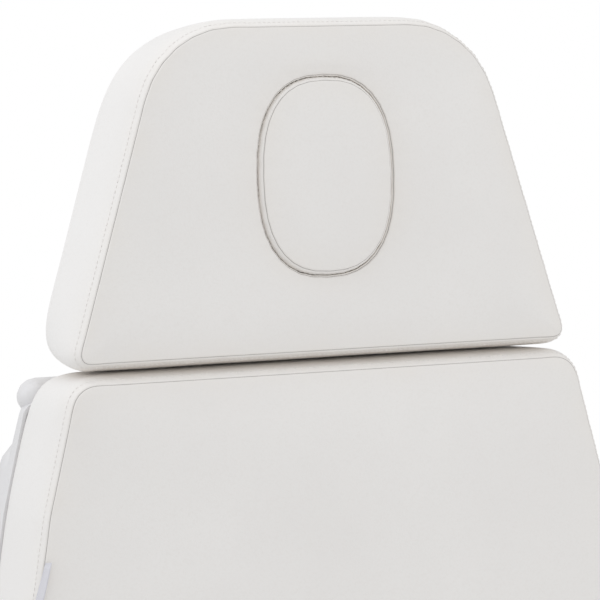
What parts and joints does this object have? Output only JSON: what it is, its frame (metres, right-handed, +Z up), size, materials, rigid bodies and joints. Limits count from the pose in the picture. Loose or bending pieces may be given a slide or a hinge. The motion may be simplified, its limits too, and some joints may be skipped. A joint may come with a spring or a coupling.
{
  "type": "facial treatment bed",
  "caption": "White padded treatment bed that folds into a chair, on a covered lifting column, with a tapered headrest, an oval face opening and plug, armrests and a wired hand control.",
  "frame": {"origin": "on the floor, under the middle of the box that holds the bed in its chair position", "axes": "+Z up; +X to the sitter's left, seen from the front the viewer's right; the foot end faces -Y and the back faces +Y"},
  "size_m": [0.836, 0.9928, 1.7056],
  "materials": {
    "upholstery": "soft white synthetic leather, fine grain, satin",
    "shell": "moulded light grey, semi-gloss",
    "light_plastic": "fine texture",
    "dark_plastic": "fine texture",
    "frame_paint": "white powder coat",
    "bright_steel": "zinc plated and ground",
    "rubber": "matte",
    "plywood": "raw birch plywood",
    "tag": "woven ribbon"
  },
  "bodies": {
    "base": {"base_frame": "frame_paint", "base_cover": "shell", "column_outer": "frame_paint", "shroud_lower": "shell", "lift_motor": "dark_plastic", "power_inlet": "dark_plastic", "levelling_foot_front_left": "rubber", "levelling_foot_front_right": "rubber", "levelling_foot_rear_left": "rubber", "levelling_foot_rear_right": "rubber"},
    "power_switch": {"power_switch": "rubber"},
    "shroud_middle": {"shroud_middle": "shell"},
    "carriage": {"seat_frame": "frame_paint", "seat_board": "plywood", "seat_cushion": "upholstery", "column_inner": "bright_steel", "shroud_upper": "shell", "control_box": "dark_plastic", "hand_control": "light_plastic", "hand_control_cable": "dark_plastic", "backrest_hinge_pin_left": "bright_steel", "backrest_hinge_pin_right": "bright_steel", "legrest_hinge_pin_left": "bright_steel", "legrest_hinge_pin_right": "bright_steel", "armrest_pin_left": "dark_plastic", "armrest_pin_right": "dark_plastic", "back_actuator_base_pin": "bright_steel", "leg_actuator_base_pin": "bright_steel"},
    "backrest": {"backrest_frame": "frame_paint", "backrest_board": "plywood", "backrest_cushion": "upholstery", "backrest_shell": "shell", "seam_tag": "tag"},
    "headrest_carrier": {"headrest_carrier": "bright_steel", "headrest_hinge_pin": "bright_steel"},
    "headrest_lock_knob": {"headrest_lock_knob": "dark_plastic"},
    "headrest": {"headrest_bracket": "frame_paint", "headrest_board": "plywood", "headrest_cushion": "upholstery"},
    "face_plug": {"face_plug": "upholstery"},
    "legrest": {"legrest_frame": "frame_paint", "legrest_board": "plywood", "legrest_cushion": "upholstery"},
    "armrest_left": {"armrest_bracket_left": "frame_paint", "armrest_pad_left": "upholstery"},
    "armrest_right": {"armrest_bracket_right": "frame_paint", "armrest_pad_right": "upholstery"},
    "back_actuator_body": {"back_actuator_body": "dark_plastic"},
    "back_actuator_rod": {"back_actuator_rod": "bright_steel"},
    "leg_actuator_body": {"leg_actuator_body": "dark_plastic"},
    "leg_actuator_rod": {"leg_actuator_rod": "bright_steel"},
    "button_height_down": {"button_height_down": "dark_plastic"},
    "button_height_up": {"button_height_up": "dark_plastic"},
    "button_backrest_down": {"button_backrest_down": "dark_plastic"},
    "button_backrest_up": {"button_backrest_up": "dark_plastic"},
    "button_legrest_down": {"button_legrest_down": "dark_plastic"},
    "button_legrest_up": {"button_legrest_up": "dark_plastic"}
  },
  "joints": [
    {"name": "column_lift", "type": "slide", "parent": "base", "child": "carriage", "axis": [0, 0, 1], "range_m": [0, 0.28]},
    {"name": "shroud_middle_lift", "type": "slide", "parent": "base", "child": "shroud_middle", "axis": [0, 0, 1], "range_m": [0, 0.14]},
    {"name": "backrest_recline", "type": "hinge", "parent": "carriage", "child": "backrest", "pos_m": [0, 0.20045, 0.635], "axis": [-1, 0, 0], "range_deg": [0, 87]},
    {"name": "legrest_raise", "type": "hinge", "parent": "carriage", "child": "legrest", "pos_m": [0, -0.27655, 0.5155], "axis": [-1, 0, 0], "range_deg": [0, 78]},
    {"name": "headrest_extend", "type": "slide", "parent": "backrest", "child": "headrest_carrier", "axis": [0, 0.0523, 0.9986], "range_m": [0, 0.1]},
    {"name": "headrest_tilt", "type": "hinge", "parent": "headrest_carrier", "child": "headrest", "pos_m": [0, 0.36584, 1.38337], "axis": [-1, 0, 0], "range_deg": [0, 45]},
    {"name": "headrest_lock", "type": "hinge", "parent": "backrest", "child": "headrest_lock_knob", "pos_m": [0.08, 0.38008, 1.19637], "axis": [0, 0.9986, -0.0523], "range_deg": [0, 270]},
    {"name": "face_plug_out", "type": "slide", "parent": "headrest", "child": "face_plug", "axis": [0, -0.9986, 0.0523], "range_m": [0, 0.12]},
    {"name": "armrest_left_flip", "type": "hinge", "parent": "carriage", "child": "armrest_left", "pos_m": [-0.355, 0.11645, 0.77], "axis": [-1, 0, 0], "range_deg": [0, 90]},
    {"name": "armrest_right_flip", "type": "hinge", "parent": "carriage", "child": "armrest_right", "pos_m": [0.355, 0.11645, 0.77], "axis": [-1, 0, 0], "range_deg": [0, 90]},
    {"name": "back_actuator_tilt", "type": "hinge", "parent": "carriage", "child": "back_actuator_body", "pos_m": [-0.16, 0.03145, 0.223], "axis": [-1, 0, 0], "range_deg": [0, 16]},
    {"name": "back_actuator_extend", "type": "slide", "parent": "back_actuator_body", "child": "back_actuator_rod", "axis": [0, 0.5532, 0.8331], "range_m": [-0.222, 0]},
    {"name": "leg_actuator_tilt", "type": "hinge", "parent": "carriage", "child": "leg_actuator_body", "pos_m": [0.16, 0.06045, 0.4735], "axis": [-1, 0, 0], "range_deg": [-1.7, 0]},
    {"name": "leg_actuator_extend", "type": "slide", "parent": "leg_actuator_body", "child": "leg_actuator_rod", "axis": [0, -0.9999, 0.0163], "range_m": [0, 0.061]},
    {"name": "power_switch_rock", "type": "hinge", "parent": "base", "child": "power_switch", "pos_m": [0.132, 0.49295, 0.058], "axis": [1, 0, 0], "range_deg": [0, 16]},
    {"name": "press_height_down", "type": "slide", "parent": "carriage", "child": "button_height_down", "axis": [-1, 0, 0], "range_m": [0, 0.0015]},
    {"name": "press_height_up", "type": "slide", "parent": "carriage", "child": "button_height_up", "axis": [-1, 0, 0], "range_m": [0, 0.0015]},
    {"name": "press_backrest_down", "type": "slide", "parent": "carriage", "child": "button_backrest_down", "axis": [-1, 0, 0], "range_m": [0, 0.0015]},
    {"name": "press_backrest_up", "type": "slide", "parent": "carriage", "child": "button_backrest_up", "axis": [-1, 0, 0], "range_m": [0, 0.0015]},
    {"name": "press_legrest_down", "type": "slide", "parent": "carriage", "child": "button_legrest_down", "axis": [-1, 0, 0], "range_m": [0, 0.0015]},
    {"name": "press_legrest_up", "type": "slide", "parent": "carriage", "child": "button_legrest_up", "axis": [-1, 0, 0], "range_m": [0, 0.0015]}
  ],
  "couplings": [
    {"joint": "shroud_middle_lift", "follows": "column_lift", "ratio": 0.5},
    {"joint": "back_actuator_tilt", "follows": "backrest_recline", "ratio": 0.183},
    {"joint": "back_actuator_extend", "follows": "backrest_recline", "m_per_rad": -0.1455},
    {"joint": "leg_actuator_tilt", "follows": "legrest_raise", "ratio": -0.0205},
    {"joint": "leg_actuator_extend", "follows": "legrest_raise", "m_per_rad": 0.0441}
  ]
}
